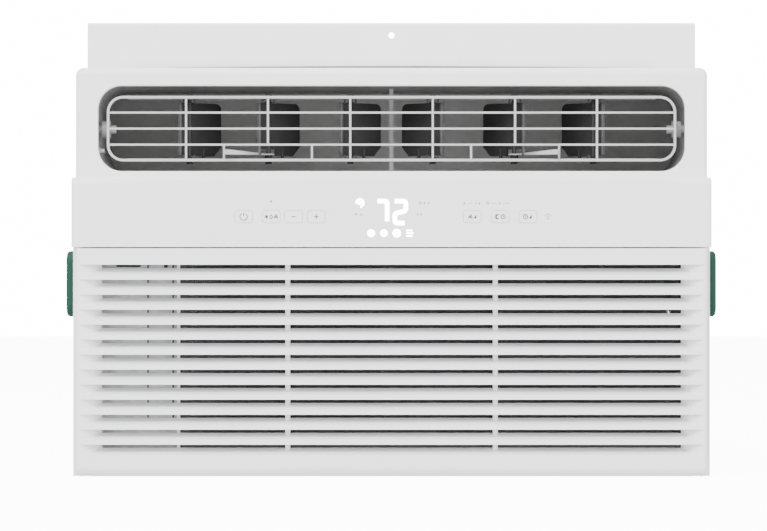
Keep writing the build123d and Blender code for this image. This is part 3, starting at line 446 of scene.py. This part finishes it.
def bars_symbol(x, z, size):
    """Three bars of rising height."""
    lines = [[(x + i * 0.45 * size, z - size), (x + i * 0.45 * size, z - size + (0.7 + 0.6 * i) * size)]
             for i in range(3)]
    return lines, [False] * 3


def moon_symbol(x, z, size):
    outer = arc(x, z, size, 60, 300, 16)
    inner = arc(x + 0.45 * size, z, 0.9 * size, 285, 75, 12)
    return [outer + inner], [True]


def clock_symbol(x, z, size):
    hands = [(x, z + 0.62 * size), (x, z), (x + 0.5 * size, z)]
    return [ring(x, z, size), hands], [True, False]


def flake_symbol(x, z, size):
    lines = []
    for turn in (30, 90, 150):
        a = math.radians(turn)
        step = (size * math.cos(a), size * math.sin(a))
        lines.append([(x - step[0], z - step[1]), (x + step[0], z + step[1])])
    return lines, [False] * 3


def drop_symbol(x, z, size):
    return [arc(x, z - 0.3 * size, 0.62 * size, 150, 390, 14) + [(x, z + size)]], [True]


def joined(*symbols):
    lines, closed = [], []
    for symbol_lines, symbol_closed in symbols:
        lines += symbol_lines
        closed += symbol_closed
    return lines, closed


KEY_PRINTS = {
    "key_power": joined(([arc(0, 0, 2.7, 122, 418)], [False]), ([[(0, 3.0), (0, 0.4)]], [False])),
    "key_mode": joined(flake_symbol(-3.4, 0, 1.5), drop_symbol(0, 0, 1.5), fan_symbol(3.5, 0, 1.6)),
    "key_minus": ([[(-1.6, 0), (1.6, 0)]], [False]),
    "key_plus": ([[(-1.7, 0), (1.7, 0)], [(0, -1.7), (0, 1.7)]], [False, False]),
    "key_fan": joined(fan_symbol(-1.3, 0, 1.7), bars_symbol(1.6, 0, 1.3)),
    "key_sleep": joined(moon_symbol(-2.2, 0, 1.6), clock_symbol(2.0, 0, 1.5)),
    "key_timer": joined(clock_symbol(-1.9, 0, 1.6), bars_symbol(1.2, 0, 1.4)),
}


def print_keys():
    """One pictogram on each key; it moves with its key."""
    for key, (lines, closed) in KEY_PRINTS.items():
        stroke_print(f"{key}_print", lines, closed, KEY_STROKE, *middle_of(key), INK, "key_white", key)


def print_strip():
    """Faint marks on the strip, the lit digits and the lit symbols, placed from the keys and the display."""
    keys = ("mode", "fan", "sleep", "timer")
    mode_x, fan_x, sleep_x, timer_x = (middle_of(f"key_{key}")[0] for key in keys)
    marks = {
        "mark_mode_light": (flake_symbol(0, 0, 1.1), mode_x, 11.3),
        "mark_check": (joined(fan_symbol(-2.2, 0, 1.0), bars_symbol(1.2, 0, 0.9)), DISPLAY_X - 24.0, 1.8),
        "mark_week": (joined(clock_symbol(-3.0, 0, 1.0), bars_symbol(-0.4, 0, 0.9), drop_symbol(3.2, 0, 1.0)),
                      DISPLAY_X + 24.0, 10.1),
        "mark_dry": (joined(drop_symbol(-1.2, 0, 1.0), bars_symbol(0.8, 0, 0.9)), DISPLAY_X + 20.5, 1.9),
        "mark_filter": (joined(bars_symbol(-5.6, 0, 0.9), ([[(-2.2, 0), (1.0, 0)]], [False]),
                               drop_symbol(3.2, 0, 1.0), bars_symbol(5.4, 0, 0.9)),
                        fan_x - 0.7, 9.9),
        "mark_remind": (joined(clock_symbol(-8, 0, 1.0), ([[(-5.6, 0), (-1.6, 0)]], [False]),
                               bars_symbol(0.2, 0, 0.9), ([[(3.6, 0), (8.4, 0)]], [False])),
                        sleep_x - 1.2, 9.9),
        "mark_signal": (([arc(0, -1.6, 0.5, 0, 345, 12), arc(0, -1.6, 1.9, 40, 140),
                          arc(0, -1.6, 3.3, 40, 140)], [True, False, False]), timer_x + 14.7, 0),
    }
    for name, ((lines, closed), x, rise) in marks.items():
        stroke_print(name, lines, closed, MARK_STROKE, x, KEY_Z + rise, FAINT_INK, "white_panel", "cabinet")

    seven = rounded([(-10.3, 8.05), (-3.2, 8.05), (-3.2, -6.65)], 2.0)
    two = rounded([(2.4, 8.05), (10.5, 8.05), (10.5, 0.85), (2.4, -0.85), (2.4, -8.05), (9.6, -8.05)], 2.2)
    stroke_print("digits", [seven, two], [False, False], DIGIT_STROKE, DISPLAY_X, KEY_Z + 3.35, GLOW,
                 "display_lens", "cabinet")
    swirl = arc(0, 1.2, 2.7, 190, -60, 16) + [(0.4, -2.2)]
    stroke_print("light_swirl", [swirl, arc(-0.2, 1.2, 0.9, 0, 345, 12)], [False, True], SWIRL_STROKE,
                 DISPLAY_X - 23.2, KEY_Z + 8.9, GLOW, "display_lens", "cabinet")
    row = {
        "light_cool": joined(flake_symbol(0, 0, 2.5), ([ring(0, 0, 2.3)], [True])),
        "light_eco": joined(([ring(0, 0, 2.2)], [True]), ([ring(0, 0, 0.9)], [True])),
        "light_fan": joined(fan_symbol(0, 0, 2.5), ([ring(0, 0, 2.6)], [True])),
        "light_flow": ([[(-2.4, 2.0), (2.2, 2.0)], [(-2.4, 0), (3.0, 0)], [(-2.4, -2.0), (2.2, -2.0)]],
                       [False] * 3),
    }
    for i, (name, (lines, closed)) in enumerate(row.items()):
        x = DISPLAY_X + LIGHT_START + LIGHT_PITCH * i
        stroke_print(name, lines, closed, LIGHT_STROKE, x, KEY_Z - LIGHT_DROP, GLOW,
                     "display_lens", "cabinet")


print_keys()
print_strip()


# ---------------------------------------------------------------- filter net
NET_PITCH = 1.3 * MM
THREAD = 0.8 * MM
# how far each set of threads stands from the middle of the net
WEAVE = 0.3 * THREAD


def make_filter_net():
    """Woven net in the filter frame: two sets of thin threads."""
    low_corner, high_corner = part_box("filter_mesh")
    middle_y = (low_corner[1] + high_corner[1]) / 2

    def build(mesh):
        half = THREAD / 2
        for axis, offset in ((0, -WEAVE), (2, WEAVE)):
            count = int((high_corner[axis] - low_corner[axis]) / NET_PITCH)
            for i in range(1, count):
                at = low_corner[axis] + i * NET_PITCH
                start = list(low_corner)
                end = list(high_corner)
                start[axis], end[axis] = at - half, at + half
                start[1], end[1] = middle_y + offset - half, middle_y + offset + half
                add_box(mesh, start, end)

    net = piece_from("filter_net", mesh_of("filter_net", build), MATERIALS["filter_mesh"],
                     "air_filter")
    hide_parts("filter_mesh")


make_filter_net()


# ---------------------------------------------------------------- fins
FIN_PITCH = 1.9 * MM
FIN_T = 0.22 * MM
FIN_OUT = 0.7 * MM


def make_fin_edges(name, source):
    """Edges of the fins, standing a little out of both faces of a fin pack."""
    low_corner, high_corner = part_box(source)

    def build(mesh):
        faces = ((low_corner[1] - FIN_OUT, low_corner[1]), (high_corner[1], high_corner[1] + FIN_OUT))
        for i in range(1, int((high_corner[0] - low_corner[0]) / FIN_PITCH)):
            x = low_corner[0] + i * FIN_PITCH
            for y_from, y_to in faces:
                add_box(mesh, (x - FIN_T / 2, y_from, low_corner[2]), (x + FIN_T / 2, y_to, high_corner[2]))

    piece_from(name, mesh_of(name, build), MATERIALS["fin_aluminium"], "cabinet")


make_fin_edges("evaporator_fin_edges", "evaporator_fins")
make_fin_edges("condenser_fin_edges", "condenser_fins")


# ---------------------------------------------------------------- louver details
VANES = [f"vane_{side}_{place}" for side in ("left", "right") for place in ("outer", "middle", "inner")]
GRILLE_LOW, GRILLE_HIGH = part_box("louver_grille")


def add_rod(mesh, centre, axis, radius, length, sides=24):
    """Round rod along an axis, starting at its centre point."""
    turn = Vector((0, 0, 1)).rotation_difference(Vector(axis)).to_matrix().to_4x4()
    place = Matrix.Translation(Vector(centre)) @ turn @ Matrix.Translation((0, 0, length / 2))
    bmesh.ops.create_cone(mesh, cap_ends=True, segments=sides, radius1=radius, radius2=radius, depth=length,
                          matrix=place)


def pivot_of(vane):
    """Where a vane's pivot stands, across and front to back, from its joint in the record."""
    for joint in frame["record"]["behaviour"]["joints"]:
        if joint["child"] == vane:
            return joint["pos_m"][:2]
    raise KeyError(vane)


CLIP_HALF = 0.6 * MM
CLIP_HEIGHT = 2.6 * MM
CLIP_SHIFT = 4.0 * MM
CLIP_RIM = 2.3 * MM
CLIP_FRONT, CLIP_BACK = 6 * MM, 13 * MM


def make_rim_clips():
    """Snap clips behind the top and bottom rims, beside each vane's pivot."""
    front, back = GRILLE_LOW[1] + CLIP_FRONT, GRILLE_LOW[1] + CLIP_BACK

    def build(mesh):
        for vane in VANES:
            for foot in (GRILLE_LOW[2] + CLIP_RIM, GRILLE_HIGH[2] - CLIP_RIM - CLIP_HEIGHT):
                for shift in (-CLIP_SHIFT, CLIP_SHIFT):
                    x = pivot_of(vane)[0] + shift
                    add_box(mesh, (x - CLIP_HALF, front, foot), (x + CLIP_HALF, back, foot + CLIP_HEIGHT))

    piece_from("rim_clips", mesh_of("rim_clips", build), MATERIALS["vane_dark"], "louver")


HUB_RADIUS = 2.9 * MM
HUB_HEIGHT = 2.5 * MM
HUB_GAP = 0.1 * MM


def make_lever_hubs():
    """Dark hub under the ring of each lever, on the pivot of its vane."""
    for side in ("left", "right"):
        vane = f"vane_{side}_middle"
        foot = (*pivot_of(vane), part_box(f"lever_{side}")[0][2] - HUB_GAP - HUB_HEIGHT)
        name = f"lever_hub_{side}"
        hub = mesh_of(name, lambda mesh: add_rod(mesh, foot, (0, 0, 1), HUB_RADIUS, HUB_HEIGHT))
        piece_from(name, hub, MATERIALS["vane_dark"], vane)


# from the pivot to the nose of a vane, and the lighter rod on that nose that paints its highlight
VANE_NOSE = 9.6 * MM
VANE_HIGHLIGHT = 38.6 * MM
VANE_HIGHLIGHT_RADIUS = 1.55 * MM


def make_vane_highlights():
    """Lighter grey rod along the front of each vane: a painted highlight on its nose."""
    # the rod's lighter grey is a painted highlight, not a lighter plastic
    edge = surface("vane_edge_plastic", grey(0.06), grey(0.08), (0.4, 0.5), grain=1500)
    for vane in VANES:
        low_corner, high_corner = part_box(vane)
        pivot_x, pivot_y = pivot_of(vane)
        way = 1 if pivot_x > 0 else -1
        ahead = VANE_NOSE / math.sqrt(2)
        foot = (pivot_x + way * ahead, pivot_y - ahead, (low_corner[2] + high_corner[2] - VANE_HIGHLIGHT) / 2)
        name = vane.replace("vane", "vane_edge")
        bead = mesh_of(name, lambda mesh: add_rod(mesh, foot, (0, 0, 1), VANE_HIGHLIGHT_RADIUS, VANE_HIGHLIGHT))
        piece_from(name, bead, edge, vane)


make_rim_clips()
make_lever_hubs()
make_vane_highlights()


# ---------------------------------------------------------------- painted shadow under the rail
SHADOW_STRIP_INSET = 33.0 * MM
SHADOW_STRIP_STEPS = 40
SHADOW_STRIP_DEPTH = 1.5 * MM
SHADOW_STRIP_GAP = 0.1 * MM
SHADOW_STRIP_LIFT = 0.2 * MM
SHADOW_STRIP_HEIGHT = 5.4 * MM
SHADOW_STRIP_BOW = 1.3 * MM


def make_rail_shadow_strip():
    """Black strip along the front of the rail's foot, a little higher in the middle: painted shadow of the
    gap between the panel's top and the rail.
    """
    low_corner, high_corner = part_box("top_rail")
    start, end = low_corner[0] + SHADOW_STRIP_INSET, high_corner[0] - SHADOW_STRIP_INSET
    back = low_corner[1] - SHADOW_STRIP_GAP
    front = back - SHADOW_STRIP_DEPTH
    foot = low_corner[2] + SHADOW_STRIP_LIFT

    def build(mesh):
        sections = []
        for i in range(SHADOW_STRIP_STEPS + 1):
            along = i / SHADOW_STRIP_STEPS
            x = start + (end - start) * along
            top = low_corner[2] + SHADOW_STRIP_HEIGHT + 4 * SHADOW_STRIP_BOW * along * (1 - along)
            corners = ((front, foot), (back, foot), (back, top), (front, top))
            sections.append([mesh.verts.new((x, y, z)) for y, z in corners])
        for before, after in zip(sections, sections[1:]):
            for a, b in ((0, 1), (1, 2), (2, 3), (3, 0)):
                mesh.faces.new((before[a], before[b], after[b], after[a]))
        mesh.faces.new(sections[0])
        mesh.faces.new(sections[-1])
        bmesh.ops.recalc_face_normals(mesh, faces=mesh.faces)

    # the black rubber colour here paints the shadow in the gap under the rail
    piece_from("rail_shadow_strip", mesh_of("rail_shadow_strip", build), MATERIALS["rubber_black"], "cabinet")


make_rail_shadow_strip()


# ---------------------------------------------------------------- seams of the control box cover
# millimetres from the left edge of the cover, and down from its top
SEAMS = (34.5, 53.2)
LABEL_MARK = (11.0, 29.0)
SQUARE = (46.5, 49.0)
MARK_START, MARK_PITCH, MARK_COUNT = 12, 11, 5
SEAM_RISE = 0.25 * MM
SEAM_END = 4 * MM


def make_cover_seams():
    """Two upright seams and two columns of marks on the cover of the control box.

    The long marks stand in place of a label's print, the short ones for small squares.
    """
    low_corner, high_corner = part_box("control_box_cover")
    left, face = low_corner[0], low_corner[1]

    def add_mark(mesh, x_from, x_to, z_from, z_to):
        add_box(mesh, (left + x_from * MM, face - SEAM_RISE, z_from), (left + x_to * MM, face, z_to))

    def build(mesh):
        for x in SEAMS:
            add_mark(mesh, x - 0.5, x + 0.5, low_corner[2] + SEAM_END, high_corner[2] - SEAM_END)
        for i in range(MARK_COUNT):
            z = high_corner[2] - (MARK_START + MARK_PITCH * i) * MM
            add_mark(mesh, *LABEL_MARK, z - 1.2 * MM, z + 1.2 * MM)
            add_mark(mesh, *SQUARE, z - 1.6 * MM, z + 1.6 * MM)

    seams = mesh_of("cover_seams", build)
    piece_from("cover_seams", seams, MATERIALS["black_plastic"], "cabinet")


make_cover_seams()
